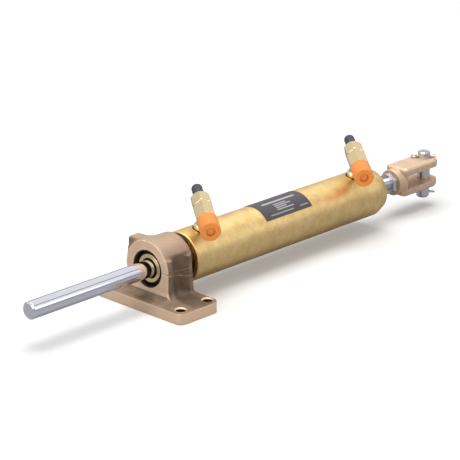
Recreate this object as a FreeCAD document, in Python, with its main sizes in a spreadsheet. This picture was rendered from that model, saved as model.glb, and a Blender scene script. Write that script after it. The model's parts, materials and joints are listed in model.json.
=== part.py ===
import FreeCAD, Part
import os
import re
import Sketcher

# Hydraulic steering cylinder: a brass tube on a ball-mounted bronze foot, with a rod through both ends.
# X runs along the cylinder from the foot to the fork, Z is up, and the origin is the middle of the
# underside of the foot. Lengths are in millimetres and angles in degrees.

SIZES = [
    ("plate_length", 49.2, "foot plate along the cylinder"),
    ("plate_width", 109.0, "foot plate across the cylinder"),
    ("plate_thickness", 11.2, "foot plate height"),
    ("plate_corner", 7.0, "radius of the plate's upright corners"),
    ("plate_edge", 1.2, "rounding along the plate's top"),
    ("hole_spacing_along", 33.6, "mounting holes, centre to centre along the cylinder"),
    ("hole_spacing_across", 93.2, "mounting holes, centre to centre across the cylinder"),
    ("hole_diameter", 9.0, "mounting holes"),
    ("hole_sink", 1.0, "chamfer at the top of each mounting hole"),
    ("axis_height", 35.6, "cylinder axis above the foot's underside"),
    ("housing_setback", 13.0, "plate front to housing front"),
    ("housing_depth", 32.8, "ball housing along the cylinder"),
    ("arch_radius", 26.0, "outside of the housing about the axis"),
    ("housing_root", 3.0, "fillet between housing and plate"),
    ("housing_edge", 1.0, "chamfer round the housing's two faces"),
    ("opening_diameter", 33.6, "housing openings at front and rear"),
    ("scoop_width", 15.5, "hollow in each side of the housing"),
    ("scoop_depth", 4.5, "depth of that hollow"),
    ("scoop_offset", 1.0, "middle of that hollow in front of the ball's"),
    ("groove_width", 3.6, "upright groove behind the hollow"),
    ("groove_inset", 6.2, "groove centre from the housing's rear"),
    ("groove_rise", 3.5, "top of the groove above the joint"),
    ("channel_width", 4.6, "shallow channel behind the front rim"),
    ("channel_depth", 1.2, "depth of the channel"),
    ("rim_width", 2.4, "front rim of the housing"),
    ("boss_length", 9.0, "square boss on top of the cap, along the cylinder"),
    ("boss_setback", 2.2, "boss front from the housing front"),
    ("boss_width", 17.0, "square boss across the cylinder"),
    ("ball_diameter", 34.0, "pivot ball"),
    ("ball_length", 21.0, "pivot ball between its flats"),
    ("seat_wall", 1.4, "wall of the ball seat"),
    ("seat_length", 18.0, "ball seat along the cylinder"),
    ("swivel_clearance", 0.1, "play of each spherical face"),
    ("fit_clearance", 0.05, "radial play of each running fit"),
    ("cap_screw_inset", 4.6, "cap screws from the housing faces"),
    ("cap_screw_spread", 41.2, "cap screws, centre to centre across"),
    ("cap_screw_diameter", 5.0, "cap screw shank"),
    ("cap_screw_head", 8.5, "cap screw head diameter"),
    ("cap_screw_head_height", 5.0, "cap screw head height"),
    ("cap_screw_reach", 10.5, "cap screw in the cap"),
    ("cap_screw_recess", 0.6, "cap screw head below the underside"),
    ("cap_screw_hexagon", 4.0, "key socket across flats"),
    ("screw_play", 0.25, "radial room round the cap screws"),
    ("tube_outer", 48.0, "tube outside diameter"),
    ("tube_bore", 40.0, "tube bore"),
    ("tube_gap", 7.4, "housing rear to tube end"),
    ("tube_length", 254.4, "tube"),
    ("tube_chamfer", 0.8, "chamfer at the tube's front end"),
    ("roll_angle", 12.5, "fittings and label lean towards the front side"),
    ("sleeve_diameter", 22.0, "gland sleeve in the ball"),
    ("sleeve_reach", 3.4, "gland sleeve past the ball's front flat"),
    ("sleeve_chamfer", 0.5, "chamfer at the sleeve's end"),
    ("neck_diameter", 25.2, "gland neck between ball and tube"),
    ("gland_recess", 1.0, "front gland inside the tube end"),
    ("gland_land", 16.4, "front gland in full contact with the bore"),
    ("nose_diameter", 33.0, "gland noses that stop the piston"),
    ("front_nose_length", 16.0, "front gland nose"),
    ("rear_nose_length", 29.6, "rear gland nose"),
    ("nose_recess_diameter", 23.6, "recess in each nose for the piston circlip"),
    ("nose_recess_depth", 1.6, "depth of that recess"),
    ("rear_land", 15.0, "rear gland in full contact with the bore"),
    ("rear_flange", 11.0, "rear gland outside the tube"),
    ("rear_taper_length", 9.0, "taper round the rear gland's end"),
    ("rear_taper_depth", 3.0, "drop of that taper"),
    ("circlip_outer", 24.8, "front circlip outside diameter"),
    ("circlip_groove", 20.4, "circlip groove diameter"),
    ("circlip_thickness", 1.2, "circlips"),
    ("rod_diameter", 16.0, "rod"),
    ("rod_reach", 140.6, "rod past the housing's front"),
    ("rod_chamfer", 1.4, "chamfer at the rod's free end"),
    ("wiper_pocket", 19.0, "wiper pockets in both glands"),
    ("wiper_length", 4.0, "wipers"),
    ("wiper_inset", 1.0, "wiper behind the gland's face"),
    ("lip_share", 0.7, "full-width share of a wiper's length"),
    ("lip_thickness", 0.6, "thickness of a wiper's lip"),
    ("seal_groove", 22.0, "rod seal groove diameter"),
    ("seal_length", 4.0, "rod seals"),
    ("seal_inset", 6.0, "rod seal from the nose side of its land"),
    ("ring_section", 1.8, "thickness of the sealing rings between gland and tube"),
    ("ring_play", 0.4, "groove width beyond that thickness"),
    ("ring_inset", 4.0, "those rings from the outer edge of the land"),
    ("piston_length", 26.0, "piston"),
    ("piston_diameter", 39.8, "piston"),
    ("piston_chamfer", 1.0, "chamfers of the piston"),
    ("piston_stop_gap", 15.2, "front nose to piston at rest"),
    ("guide_width", 4.0, "piston guide rings"),
    ("guide_inset", 3.0, "guide rings from the piston's faces"),
    ("guide_depth", 1.5, "guide ring grooves"),
    ("piston_seal_width", 6.0, "piston seal"),
    ("piston_seal_depth", 3.5, "piston seal groove"),
    ("axial_play", 0.05, "side play of rings in their grooves"),
    ("rod_groove_diameter", 14.0, "grooves for the piston circlips"),
    ("piston_circlip_outer", 22.0, "piston circlips outside diameter"),
    ("thread_diameter", 12.0, "thread at the rod's fork end"),
    ("thread_chamfer", 1.0, "chamfers at the thread's shoulder and end"),
    ("thread_short", 0.4, "thread end behind the slot's bottom"),
    ("shoulder_gap", 8.0, "rod shoulder to lock nut"),
    ("nut_flats", 19.0, "lock nut across flats"),
    ("nut_thickness", 6.8, "lock nut"),
    ("nut_gap", 23.8, "rear gland to lock nut at rest"),
    ("fork_boss_length", 6.4, "round boss of the fork"),
    ("fork_boss_chamfer", 1.2, "chamfer of that boss"),
    ("fork_web", 5.0, "solid web behind the slot"),
    ("fork_width", 26.4, "fork across its ears"),
    ("fork_height", 29.0, "fork over both ears"),
    ("fork_slot", 14.0, "gap between the ears"),
    ("slot_length", 40.0, "slot bottom to the pin"),
    ("fork_edge", 3.5, "rounding along the fork's outer edges"),
    ("pin_diameter", 12.7, "clevis pin"),
    ("pin_length", 47.4, "clevis pin"),
    ("pin_chamfer", 1.2, "chamfer at both pin ends"),
    ("split_pin_diameter", 3.2, "split pins"),
    ("split_pin_play", 0.1, "upper split pin above the ear"),
    ("split_pin_spacing", 37.6, "split pins, centre to centre"),
    ("split_pin_turn", 43.0, "split pins turned from the cylinder axis"),
    ("split_pin_eye", 3.4, "radius of the split pin's eye"),
    ("split_pin_tail", 12.0, "split pin tail from the pin's middle"),
    ("split_eye_gap", 0.2, "eye of a split pin from the clevis pin"),
    ("split_neck", 0.8, "shank of a split pin before its eye"),
    ("split_tail_spread", 14.0, "spread of each tail"),
    ("front_port_offset", 22.6, "front fitting from the tube's end"),
    ("rear_port_offset", 21.0, "rear fitting from the tube's other end"),
    ("front_fitting_turn", 36.0, "front fitting turned towards the foot"),
    ("rear_fitting_turn", 38.0, "rear fitting turned towards the foot"),
    ("fitting_rise", 17.0, "tube surface to the run of a fitting"),
    ("fitting_flats", 17.0, "hexagons of the fittings, across flats"),
    ("fitting_hex_turn", 20.0, "hexagons turned about the run"),
    ("body_back", 5.7, "fitting body behind the stem"),
    ("body_front", 16.8, "fitting body in front of the stem"),
    ("bleed_nut_length", 19.8, "bleed nut"),
    ("bleed_spigot_length", 14.3, "spigot inside the bleed nut"),
    ("nut_taper", 2.4, "taper at the bleed nut's end, in chamfers"),
    ("spigot_diameter", 11.0, "spigots at both ends of the run"),
    ("hose_spigot_length", 14.0, "spigot for the hose"),
    ("passage_diameter", 5.0, "oil passages"),
    ("bleed_stem_diameter", 6.0, "bleed nipple"),
    ("bleed_stem_length", 16.0, "bleed nipple outside its nut"),
    ("bleed_flange", 2.0, "flange of the bleed nipple"),
    ("nipple_chamfer", 1.0, "chamfer at the nipple's tip"),
    ("bleed_cap_diameter", 11.2, "rubber cap on the nipple"),
    ("bleed_cap_length", 19.4, "rubber cap"),
    ("bleed_cap_gap", 0.1, "rubber cap from its nut"),
    ("bleed_bead", 2.0, "bead at the rubber cap's mouth"),
    ("bleed_step", 0.5, "step behind that bead"),
    ("bleed_dome", 1.6, "chamfer at the rubber cap's closed end"),
    ("hose_cap_diameter", 18.8, "transport cap"),
    ("hose_cap_length", 20.2, "transport cap"),
    ("hose_cap_wall", 2.0, "transport cap end wall beyond its dimple"),
    ("hose_cap_lip", 0.4, "chamfer at the transport cap's mouth"),
    ("hose_cap_edge", 0.8, "chamfer at the transport cap's closed end"),
    ("dimple_diameter", 8.6, "dimple in the transport cap's end"),
    ("dimple_depth", 1.6, "depth of that dimple"),
    ("stem_diameter", 11.2, "stem of a fitting"),
    ("stem_collar_diameter", 14.8, "collar at the stem's foot"),
    ("stem_collar_height", 2.6, "that collar"),
    ("stem_flare", 1.6, "taper from collar to stem"),
    ("port_washer_diameter", 16.2, "washer under the collar"),
    ("port_washer_thickness", 1.4, "that washer"),
    ("spot_depth", 1.2, "spot face below the tube's crest"),
    ("spot_play", 0.1, "spot face round the washer"),
    ("port_thread", 10.0, "threaded end in the tube wall"),
    ("port_start", 2.0, "inner end of the port hole inside the bore"),
    ("label_start", 95.4, "label from the tube's front end"),
    ("label_length", 62.0, "label along the tube"),
    ("label_angle", 80.0, "label round the tube"),
    ("label_thickness", 0.25, "label"),
    ("label_film_gap", 0.12, "glue line under the label"),
]

doc = FreeCAD.newDocument("steering_cylinder")
sheet = doc.addObject("Spreadsheet::Sheet", "Sizes")
for row, (alias, size, meaning) in enumerate(SIZES, start=1):
    sheet.set(f"A{row}", meaning)
    sheet.set(f"B{row}", str(size))
    sheet.setAlias(f"B{row}", alias)
doc.recompute()

ALIAS = re.compile(r"\b(" + "|".join(alias for alias, size, meaning in SIZES) + r")\b")

# Places along X, from the same driving sizes.
FRONT = "(housing_setback - plate_length / 2)"
REAR = f"({FRONT} + housing_depth)"
BALL = f"({FRONT} + housing_depth / 2)"
BALL_FRONT = f"({BALL} - ball_length / 2)"
BALL_REAR = f"({BALL} + ball_length / 2)"
TUBE_FRONT = f"({REAR} + tube_gap)"
TUBE_REAR = f"({TUBE_FRONT} + tube_length)"
GLAND_FACE = f"({TUBE_FRONT} + gland_recess)"
FRONT_LAND = f"({GLAND_FACE} + gland_land)"
FRONT_NOSE = f"({FRONT_LAND} + front_nose_length)"
REAR_LAND = f"({TUBE_REAR} - rear_land)"
REAR_NOSE = f"({REAR_LAND} - rear_nose_length)"
GLAND_END = f"({TUBE_REAR} + rear_flange)"
SLEEVE_END = f"({BALL_FRONT} - sleeve_reach)"
PISTON = f"({FRONT_NOSE} + piston_stop_gap)"
PISTON_END = f"({PISTON} + piston_length)"
NUT = f"({GLAND_END} + nut_gap)"
FORK = f"({NUT} + nut_thickness)"
FORK_BLOCK = f"({FORK} + fork_boss_length)"
SLOT = f"({FORK_BLOCK} + fork_web)"
PIN = f"({SLOT} + slot_length)"
ROD_END = f"({FRONT} - rod_reach)"
FRONT_PORT = f"({TUBE_FRONT} + front_port_offset)"
REAR_PORT = f"({TUBE_REAR} - rear_port_offset)"

ARCH = "arch_radius"
SEAT = "(ball_diameter / 2 + swivel_clearance + seat_wall)"
OUTER = "(tube_outer / 2)"
BORE = "(tube_bore / 2)"
ROD = "(rod_diameter / 2)"
ROD_HOLE = "(rod_diameter / 2 + fit_clearance)"
FULL_TURN = 360
HALF_TURN = 180


def bound(expression):
    """Point every size's name at its cell."""
    return ALIAS.sub(r"Sizes.\1", str(expression))


def number(expression):
    """The present value of an expression."""
    return float(sheet.evalExpression(bound(expression)))


def bind(item, **places):
    """Tie properties of an object to the sheet; a double underscore stands for a dot."""
    for name, expression in places.items():
        item.setExpression(name.replace("__", "."), bound(expression))
    return item


def body_plane(body, role):
    """One of a body's own origin planes."""
    return next(plane for plane in body.Origin.OriginFeatures if plane.Role == role)


def outline(body, name, role, points):
    """A closed sketch of straight lines whose corners are tied to the sheet."""
    sketch = body.newObject("Sketcher::SketchObject", name)
    sketch.AttachmentSupport = [(body_plane(body, role), "")]
    sketch.MapMode = "FlatFace"
    corners = [FreeCAD.Vector(number(across), number(up), 0) for across, up in points]
    count = len(corners)
    for index in range(count):
        sketch.addGeometry(Part.LineSegment(corners[index], corners[(index + 1) % count]), False)
    for index in range(count):
        sketch.addConstraint(Sketcher.Constraint("Coincident", index, 2, (index + 1) % count, 1))
    for index, (across, up) in enumerate(points):
        for kind, value, expression in (("DistanceX", corners[index].x, across),
                                        ("DistanceY", corners[index].y, up)):
            dimension = sketch.addConstraint(Sketcher.Constraint(kind, -1, 1, index, 1, value))
            sketch.setExpression(f"Constraints[{dimension}]", bound(expression))
    return sketch


def turned(label, points, angle=FULL_TURN):
    """A body turned about its own X axis from (place, radius) corners."""
    body = doc.addObject("PartDesign::Body", label)
    body.Label = label
    sketch = outline(body, label + "_profile", "XZ_Plane", points)
    revolution = body.newObject("PartDesign::Revolution", label + "_turning")
    revolution.Profile = sketch
    revolution.ReferenceAxis = (sketch, ["H_Axis"])
    if angle == FULL_TURN:
        revolution.Angle = FULL_TURN
    else:
        revolution.Midplane = True
        bind(revolution, Angle=angle)
    return body


def on_axis(item):
    """Lift a piece that is modelled about X to the cylinder's axis."""
    return bind(item, Placement__Base__z="axis_height")


def bar_x(name, start, end, radius, across="0", height="axis_height"):
    """A cylinder along X."""
    bar = doc.addObject("Part::Cylinder", name)
    bar.Placement = FreeCAD.Placement(FreeCAD.Vector(), FreeCAD.Rotation(FreeCAD.Vector(0, 1, 0), 90))
    return bind(bar, Radius=radius, Height=f"({end}) - ({start})", Placement__Base__x=start,
                Placement__Base__y=across, Placement__Base__z=height)


def bar_z(name, start, end, radius, along="0", across="0"):
    """An upright cylinder."""
    bar = doc.addObject("Part::Cylinder", name)
    return bind(bar, Radius=radius, Height=f"({end}) - ({start})", Placement__Base__x=along,
                Placement__Base__y=across, Placement__Base__z=start)


def cone_z(name, start, end, low_radius, high_radius, along, across):
    """An upright cone."""
    cone = doc.addObject("Part::Cone", name)
    return bind(cone, Radius1=low_radius, Radius2=high_radius, Height=f"({end}) - ({start})",
                Placement__Base__x=along, Placement__Base__y=across, Placement__Base__z=start)


def block(name, left, right, near, far, low, high):
    """A box between six places."""
    box = doc.addObject("Part::Box", name)
    bind(box, Length=f"({right}) - ({left})", Width=f"({far}) - ({near})", Height=f"({high}) - ({low})")
    return bind(box, Placement__Base__x=left, Placement__Base__y=near, Placement__Base__z=low)


def sphere(name, radius, along, height):
    """A whole ball."""
    ball = doc.addObject("Part::Sphere", name)
    return bind(ball, Radius=radius, Placement__Base__x=along, Placement__Base__z=height)


def hexagon(name, start, end, flats, turn="0"):
    """A hexagonal bar along X, about the X axis."""
    prism = doc.addObject("Part::Prism", name)
    prism.Polygon = 6
    bind(prism, Circumradius=f"{flats} / 2 / cos(30 deg)", Height=f"({end}) - ({start})")
    return bind(prism, Placement=f"placement(vector({start}; 0; 0); rotation(vector(0; 1; 0); 90))"
                                 f" * placement(vector(0; 0; 0); rotation(vector(0; 0; 1); {turn}))")


def fused(label, pieces):
    """One solid out of several."""
    fusion = doc.addObject("Part::MultiFuse", label)
    fusion.Label = label
    fusion.Shapes = pieces
    fusion.Refine = True
    return fusion


def cut(label, base, tools):
    """A solid with other solids taken out of it."""
    result = doc.addObject("Part::Cut", label)
    result.Label = label
    result.Base = base
    result.Tool = tools[0] if len(tools) == 1 else fused(label + "_tools", tools)
    result.Refine = True
    return result


def shared(label, first, second):
    """What two solids have in common."""
    result = doc.addObject("Part::Common", label)
    result.Label = label
    result.Base = first
    result.Tool = second
    result.Refine = True
    return result


def edge_names(shape, wanted):
    """Names of the edges that a test picks out."""
    return [f"Edge{index}" for index, edge in enumerate(shape.Edges, start=1) if wanted(edge)]


def rounded(body, name, radius, wanted):
    """A fillet along chosen edges of a body's last feature."""
    doc.recompute()
    base = body.Tip
    fillet = body.newObject("PartDesign::Fillet", name)
    fillet.Base = (base, edge_names(base.Shape, wanted))
    return bind(fillet, Radius=radius)


def padded(body, name, role, points, length, midplane=False):
    """A pad on one of the body's own planes."""
    sketch = outline(body, name + "_outline", role, points)
    pad = body.newObject("PartDesign::Pad", name)
    pad.Profile = sketch
    pad.Midplane = midplane
    return bind(pad, Length=length)


def rectangle(half_along, half_across):
    """Corners of a rectangle about the origin."""
    return [(f"-{half_along}", f"-{half_across}"), (half_along, f"-{half_across}"),
            (half_along, half_across), (f"-{half_along}", half_across)]


def corner_pairs():
    """The four sign pairs of a rectangle's corners."""
    return [(along, across) for along in (-1, 1) for across in (-1, 1)]


def housing_tools(name):
    """What is cut from both halves of the ball housing."""
    tools = [sphere(name + "_seat", f"{SEAT} + swivel_clearance", BALL, "axis_height"),
             bar_x(name + "_opening", f"{FRONT} - housing_edge", f"{REAR} + housing_edge",
                   "opening_diameter / 2")]
    top = "axis_height + arch_radius + boss_width"
    scoop = "(scoop_width * scoop_width / 8 / scoop_depth + scoop_depth / 2)"
    for side in (-1, 1):
        tools.append(bar_z(f"{name}_scoop", "plate_thickness", top, scoop, f"{BALL} - scoop_offset",
                           f"{side} * (arch_radius - scoop_depth + {scoop})"))
        tools.append(bar_z(f"{name}_groove", "plate_thickness", "axis_height + groove_rise",
                           "groove_width / 2", f"{REAR} - groove_inset", f"{side} * arch_radius"))
        inner = f"{side} * arch_radius - channel_depth"
        tools.append(block(f"{name}_channel", f"{FRONT} + rim_width", f"{FRONT} + rim_width + channel_width",
                           inner, f"{inner} + 2 * channel_depth", "plate_thickness",
                           "axis_height + groove_rise"))
    return tools


def cap_screw_places():
    """Places of the four screws that hold the housing's cap."""
    along = "(housing_depth / 2 - cap_screw_inset)"
    return [(f"{BALL} + {left} * {along}", f"{near} * cap_screw_spread / 2")
            for left, near in corner_pairs()]


def foot_base():
    """Foot plate with the lower half of the ball housing."""
    body = doc.addObject("PartDesign::Body", "foot_casting")
    padded(body, "plate", "XY_Plane", rectangle("plate_length / 2", "plate_width / 2"), "plate_thickness")
    rounded(body, "plate_corners", "plate_corner",
            lambda edge: abs(edge.tangentAt(edge.FirstParameter).z) > 0.9)
    top = number("plate_thickness")
    rounded(body, "plate_top", "plate_edge",
            lambda edge: edge.BoundBox.ZMin > top - 0.01)
    walls = [(f"{FRONT} + housing_edge", "-arch_radius"), (f"{REAR} - housing_edge", "-arch_radius"),
             (REAR, "-arch_radius + housing_edge"), (REAR, "arch_radius - housing_edge"),
             (f"{REAR} - housing_edge", "arch_radius"), (f"{FRONT} + housing_edge", "arch_radius"),
             (FRONT, "arch_radius - housing_edge"), (FRONT, "-arch_radius + housing_edge")]
    padded(body, "housing", "XY_Plane", walls, "axis_height")
    rear = number(REAR)
    rounded(body, "housing_foot", "housing_root",
            lambda edge: abs(edge.CenterOfMass.z - top) < 0.01
            and edge.BoundBox.XMax < rear - 0.5
            and abs(edge.CenterOfMass.y) < number("arch_radius") + 0.1
            and edge.BoundBox.XMin > number(FRONT) - 0.1)
    tools = housing_tools("base")
    for left, near in corner_pairs():
        along = f"{left} * hole_spacing_along / 2"
        across = f"{near} * hole_spacing_across / 2"
        tools.append(bar_z("mounting_hole", "-1", "plate_thickness + 1", "hole_diameter / 2", along, across))
        tools.append(cone_z("mounting_sink", "plate_thickness - hole_sink", "plate_thickness + hole_sink",
                            "hole_diameter / 2", "hole_diameter / 2 + 2 * hole_sink", along, across))
    for along, across in cap_screw_places():
        tools.append(bar_z("screw_clearance", "-1", "axis_height + 1", "cap_screw_diameter / 2 + screw_play",
                           along, across))
        tools.append(bar_z("screw_counterbore", "-1", "cap_screw_recess + cap_screw_head_height",
                           "cap_screw_head / 2 + screw_play", along, across))
    return cut("foot_base", body, tools)


def foot_cap():
    """Upper half of the ball housing with its square boss."""
    arch = turned("cap_arch", [(FRONT, "0"), (REAR, "0"), (REAR, f"{ARCH} - housing_edge"),
                               (f"{REAR} - housing_edge", ARCH), (f"{FRONT} + housing_edge", ARCH),
                               (FRONT, f"{ARCH} - housing_edge")], HALF_TURN)
    on_axis(arch)
    boss = block("cap_boss", f"{FRONT} + boss_setback", f"{FRONT} + boss_setback + boss_length",
                 "arch_radius - boss_width", ARCH, "axis_height", "axis_height + arch_radius")
    tools = housing_tools("cap")
    for along, across in cap_screw_places():
        tools.append(bar_z("screw_thread", "axis_height - 1", "axis_height + cap_screw_reach",
                           "cap_screw_diameter / 2", along, across))
    return cut("foot_cap", fused("cap_blank", [arch, boss]), tools)


def cap_screws():
    """Four socket screws that hold the cap from below."""
    screws = []
    for along, across in cap_screw_places():
        head_top = "cap_screw_recess + cap_screw_head_height"
        shank = bar_z("screw_shank", "cap_screw_recess", "axis_height + cap_screw_reach",
                      "cap_screw_diameter / 2", along, across)
        head = bar_z("screw_head", "cap_screw_recess", head_top, "cap_screw_head / 2", along, across)
        socket = doc.addObject("Part::Prism", "screw_socket")
        socket.Polygon = 6
        bind(socket, Circumradius="cap_screw_hexagon / 2 / cos(30 deg)", Height="cap_screw_head_height / 2",
             Placement__Base__x=along, Placement__Base__y=across, Placement__Base__z="cap_screw_recess")
        screws.append(cut("cap_screw", fused("cap_screw_blank", [shank, head]), [socket]))
    return fused("cap_screws", screws)


def ball_seat(label, upper):
    """Half of the plastic shell that the ball turns in."""
    half = "seat_length / 2"
    low, high = ("axis_height", "axis_height + ball_diameter") if upper else ("axis_height - ball_diameter",
                                                                            "axis_height")
    slab = block(label + "_slab", f"{BALL} - {half}", f"{BALL} + {half}", "-ball_diameter", "ball_diameter",
                 low, high)
    shell = shared(label + "_shell", sphere(label + "_outside", SEAT, BALL, "axis_height"), slab)
    return cut(label, shell, [sphere(label + "_inside", "ball_diameter / 2 + swivel_clearance", BALL,
                                     "axis_height")])


def pivot_ball():
    """Ball with two flats and a bore for the gland's sleeve."""
    slab = block("ball_slab", BALL_FRONT, BALL_REAR, "-ball_diameter", "ball_diameter",
                 "axis_height - ball_diameter", "axis_height + ball_diameter")
    blank = shared("ball_blank", sphere("ball_outside", "ball_diameter / 2", BALL, "axis_height"), slab)
    bore = bar_x("ball_bore", f"{BALL_FRONT} - 1", f"{BALL_REAR} + 1", "sleeve_diameter / 2 + fit_clearance")
    return cut("pivot_ball", blank, [bore])


def front_gland():
    """Front gland: sleeve through the ball, neck, land in the tube and nose."""
    groove_start = f"({BALL_FRONT} - axial_play - circlip_thickness)"
    groove_end = f"({BALL_FRONT} - axial_play)"
    ring_start = f"({GLAND_FACE} + ring_inset)"
    ring_end = f"({ring_start} + ring_section + ring_play)"
    seal_start = f"({FRONT_LAND} - seal_inset)"
    seal_end = f"({seal_start} + seal_length)"
    return on_axis(turned("front_gland", [
        (SLEEVE_END, "wiper_pocket / 2"),
        (SLEEVE_END, "sleeve_diameter / 2 - sleeve_chamfer"),
        (f"{SLEEVE_END} + sleeve_chamfer", "sleeve_diameter / 2"),
        (groove_start, "sleeve_diameter / 2"),
        (groove_start, "circlip_groove / 2"),
        (groove_end, "circlip_groove / 2"),
        (groove_end, "sleeve_diameter / 2"),
        (f"{BALL_REAR} + axial_play", "sleeve_diameter / 2"),
        (f"{BALL_REAR} + axial_play", "neck_diameter / 2"),
        (GLAND_FACE, "neck_diameter / 2"),
        (GLAND_FACE, BORE),
        (ring_start, BORE),
        (ring_start, f"{BORE} - ring_section"),
        (ring_end, f"{BORE} - ring_section"),
        (ring_end, BORE),
        (FRONT_LAND, BORE),
        (FRONT_LAND, "nose_diameter / 2"),
        (FRONT_NOSE, "nose_diameter / 2"),
        (FRONT_NOSE, "nose_recess_diameter / 2"),
        (f"{FRONT_NOSE} - nose_recess_depth", "nose_recess_diameter / 2"),
        (f"{FRONT_NOSE} - nose_recess_depth", ROD_HOLE),
        (seal_end, ROD_HOLE),
        (seal_end, "seal_groove / 2"),
        (seal_start, "seal_groove / 2"),
        (seal_start, ROD_HOLE),
        (f"{SLEEVE_END} + wiper_inset + wiper_length", ROD_HOLE),
        (f"{SLEEVE_END} + wiper_inset + wiper_length", "wiper_pocket / 2"),
    ]))


def rear_gland():
    """Rear gland: nose and land in the tube, tapered flange outside it."""
    ring_end = f"({TUBE_REAR} - ring_inset)"
    ring_start = f"({ring_end} - ring_section - ring_play)"
    seal_start = f"({REAR_LAND} + seal_inset - seal_length)"
    seal_end = f"({seal_start} + seal_length)"
    pocket = f"({GLAND_END} - wiper_inset - wiper_length)"
    return on_axis(turned("rear_gland", [
        (f"{REAR_NOSE} + nose_recess_depth", ROD_HOLE),
        (f"{REAR_NOSE} + nose_recess_depth", "nose_recess_diameter / 2"),
        (REAR_NOSE, "nose_recess_diameter / 2"),
        (REAR_NOSE, "nose_diameter / 2"),
        (REAR_LAND, "nose_diameter / 2"),
        (REAR_LAND, BORE),
        (ring_start, BORE),
        (ring_start, f"{BORE} - ring_section"),
        (ring_end, f"{BORE} - ring_section"),
        (ring_end, BORE),
        (TUBE_REAR, BORE),
        (TUBE_REAR, OUTER),
        (f"{GLAND_END} - rear_taper_length", OUTER),
        (GLAND_END, f"{OUTER} - rear_taper_depth"),
        (GLAND_END, "wiper_pocket / 2"),
        (pocket, "wiper_pocket / 2"),
        (pocket, ROD_HOLE),
        (seal_end, ROD_HOLE),
        (seal_end, "seal_groove / 2"),
        (seal_start, "seal_groove / 2"),
        (seal_start, ROD_HOLE),
    ]))


def ring_of(label, start, end, inner, outer):
    """A plain ring about the cylinder's axis."""
    return on_axis(turned(label, [(start, inner), (end, inner), (end, outer), (start, outer)]))


def lipped_ring(label, base, lip, inner, outer):
    """A ring with a lip that leans in to the rod, from its base to its lip."""
    depth = f"({lip} - {base})"
    return on_axis(turned(label, [(base, inner), (base, outer), (f"{base} + {depth} * lip_share", outer),
                                  (lip, f"{inner} + lip_thickness"), (lip, inner)]))


def sealing_ring(label, start):
    """A round-section ring in a groove of a gland."""
    ring = doc.addObject("Part::Torus", label)
    ring.Label = label
    ring.Placement = FreeCAD.Placement(FreeCAD.Vector(), FreeCAD.Rotation(FreeCAD.Vector(0, 1, 0), 90))
    return bind(ring, Radius1=f"{BORE} - ring_section / 2", Radius2="ring_section / 2",
                Placement__Base__x=f"{start} + ring_section / 2 + ring_play / 2",
                Placement__Base__z="axis_height")


def stem_frame(along, radial):
    """Placement with Z along a fitting's stem, at a distance from the cylinder's axis."""
    return (f"placement(vector({along}; 0; axis_height); rotation(vector(1; 0; 0); roll_angle))"
            f" * placement(vector(0; 0; {radial}); rotation(vector(0; 0; 1); 0))")


def run_frame(along, turn):
    """Placement with X along a fitting's run, where it crosses the stem."""
    return (stem_frame(along, f"{OUTER} + fitting_rise")
            + f" * placement(vector(0; 0; 0); rotation(vector(0; 0; 1); -90 - {turn}))")


def tube():
    """Drawn brass tube with two spot-faced ports."""
    blank = on_axis(turned("tube_blank", [
        (f"{TUBE_FRONT}", BORE), (TUBE_REAR, BORE), (TUBE_REAR, OUTER),
        (f"{TUBE_FRONT} + tube_chamfer", OUTER), (TUBE_FRONT, f"{OUTER} - tube_chamfer")]))
    tools = []
    for along in (FRONT_PORT, REAR_PORT):
        spot = doc.addObject("Part::Cylinder", "spot_face")
        bind(spot, Radius="port_washer_diameter / 2 + spot_play", Height="tube_outer / 4",
             Placement=stem_frame(along, f"{OUTER} - spot_depth"))
        hole = doc.addObject("Part::Cylinder", "port_hole")
        bind(hole, Radius="port_thread / 2", Height="tube_outer / 4",
             Placement=stem_frame(along, f"{BORE} - port_start"))
        tools.extend([spot, hole])
    return cut("tube", blank, tools)


def label_plate():
    """Thin label wrapped over the top of the tube."""
    start = f"({TUBE_FRONT} + label_start)"
    end = f"({start} + label_length)"
    inner = f"{OUTER} + label_film_gap"
    outer = f"{inner} + label_thickness"
    film = turned("label", [(start, inner), (end, inner), (end, outer), (start, outer)], "label_angle")
    lean = "placement(vector(0; 0; axis_height); rotation(vector(1; 0; 0); roll_angle))"
    return bind(film, Placement=lean)


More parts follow.
